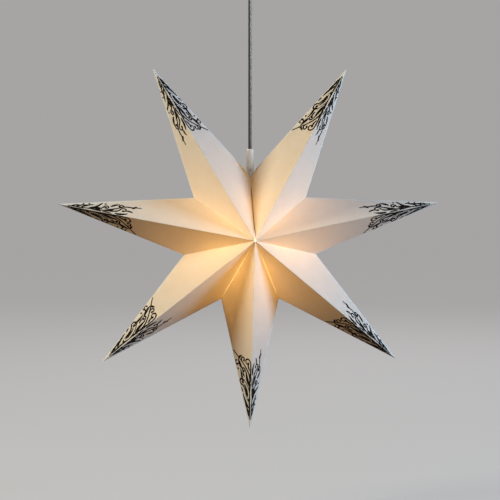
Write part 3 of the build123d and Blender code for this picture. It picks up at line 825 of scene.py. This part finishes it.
# ---- stage and light ------------------------------------------------------------------------------
FLOOR_DROP = 0.93           # below the ceiling face
FLOOR_RADIUS = 5.0          # flat part, under the object
SWEEP = 2.2                 # radius of the rise around it
SWEEP_STEPS = 12
STAGE_SPOKES = 96
STAGE_HEIGHT = 7.0
STAGE_TONE = (0.17, 0.165, 0.165, 1.0)
STAGE_GLOW = (0.60, 0.585, 0.58, 1.0)
STAGE_GLOW_STRENGTH = 0.60


def stage_finish():
    """Plain pale tone that stays even far from the lights."""
    s = Shader("stage")
    mottle = s.noise(40.0, 2.0)
    base = s.mix(mottle, tinted(STAGE_TONE, 0.98), tinted(STAGE_TONE, 1.02))
    return s.finish(s.principled({"Base Color": base, "Roughness": 0.9, "Specular IOR Level": 0.1,
                                  "Emission Color": STAGE_GLOW, "Emission Strength": STAGE_GLOW_STRENGTH}))


def make_stage():
    """Pale round floor that sweeps up far from the object on every side."""
    profile = [(0.0, 0.0), (FLOOR_RADIUS / 2, 0.0), (FLOOR_RADIUS, 0.0)]
    for angle in np.linspace(0, pi / 2, SWEEP_STEPS + 1)[1:]:
        profile.append((FLOOR_RADIUS + SWEEP * sin(angle), SWEEP - SWEEP * cos(angle)))
    profile.append((FLOOR_RADIUS + SWEEP, STAGE_HEIGHT))
    turns = [2 * pi * i / STAGE_SPOKES for i in range(STAGE_SPOKES)]
    vertices = [(0.0, 0.0, -FLOOR_DROP)]
    faces = [(0, 1 + i, 1 + (i + 1) % STAGE_SPOKES) for i in range(STAGE_SPOKES)]
    for ring, (radius, height) in enumerate(profile[1:]):
        vertices += [(radius * cos(t), radius * sin(t), height - FLOOR_DROP) for t in turns]
        for i in range(STAGE_SPOKES if ring else 0):
            low, nxt = 1 + (ring - 1) * STAGE_SPOKES, (i + 1) % STAGE_SPOKES
            high = low + STAGE_SPOKES
            faces.append((low + i, high + i, high + nxt, low + nxt))
    floor = build_mesh("stage", vertices, faces, [stage_finish()], smooth=True)
    floor.visible_diffuse = False
    floor.visible_transmission = False


# name, azimuth and elevation in degrees, distance, diameter, watts, colour
LIGHTS = (("key", 61, 14, 2.6, 0.9, 80, (0.58, 0.80, 1.0)),
          ("fill", -75, 27, 2.8, 0.9, 80, (0.96, 0.95, 0.74)),
          ("back_light", 165, 30, 2.8, 1.2, 28, (0.97, 0.97, 1.0)))
SKY = (0.95, 0.96, 1.0, 1.0)
SKY_STRENGTH = 0.03


def area_light(name, azimuth, elevation, distance, size, power, colour):
    """Round soft light, turned to the star's middle."""
    data = bpy.data.lights.new(name, "AREA")
    data.shape = "DISK"
    data.size = size
    data.energy = power
    data.color = colour
    lamp = bpy.data.objects.new(name, data)
    bpy.context.scene.collection.objects.link(lamp)
    back = look_from(radians(azimuth), radians(elevation))
    lamp.location = CENTRE + back * distance
    lamp.rotation_mode = "QUATERNION"
    lamp.rotation_quaternion = (-back).to_track_quat("-Z", "Y")


def make_light():
    for settings in LIGHTS:
        area_light(*settings)
    world = bpy.data.worlds.new("world")
    world.use_nodes = True
    background = world.node_tree.nodes["Background"]
    background.inputs["Color"].default_value = SKY
    background.inputs["Strength"].default_value = SKY_STRENGTH
    bpy.context.scene.world = world
    bpy.context.scene.view_settings.view_transform = "Standard"


# ---- build ----------------------------------------------------------------------------------------
SPRIG_ON_B = (1, 6)         # points with the slender sprig on their b side


def make_star(card_materials, ink):
    """Both halves of every point, front and back, with their print."""
    slope = Facet("front", 4, "a").crease_slope
    broad, narrow = (print_triangles(design, slope) for design in (broad_side(), narrow_side()))
    for face in ("front", "back"):
        for k in POINTS:
            for side in "ab":
                facet = Facet(face, k, side)
                make_panel(facet, card_materials)
                sprig_side = "b" if k in SPRIG_ON_B else "a"
                make_print(facet, narrow if side == sprig_side else broad, ink)


make_camera()
card_materials = [card_outside(), card_inside(), card_edge()]
finishes = dress_nodes(card_materials[RIM])
make_cord(finishes["cord_rubber"])
make_star(card_materials, printed_ink())
make_stage()
make_light()
make_lamp()
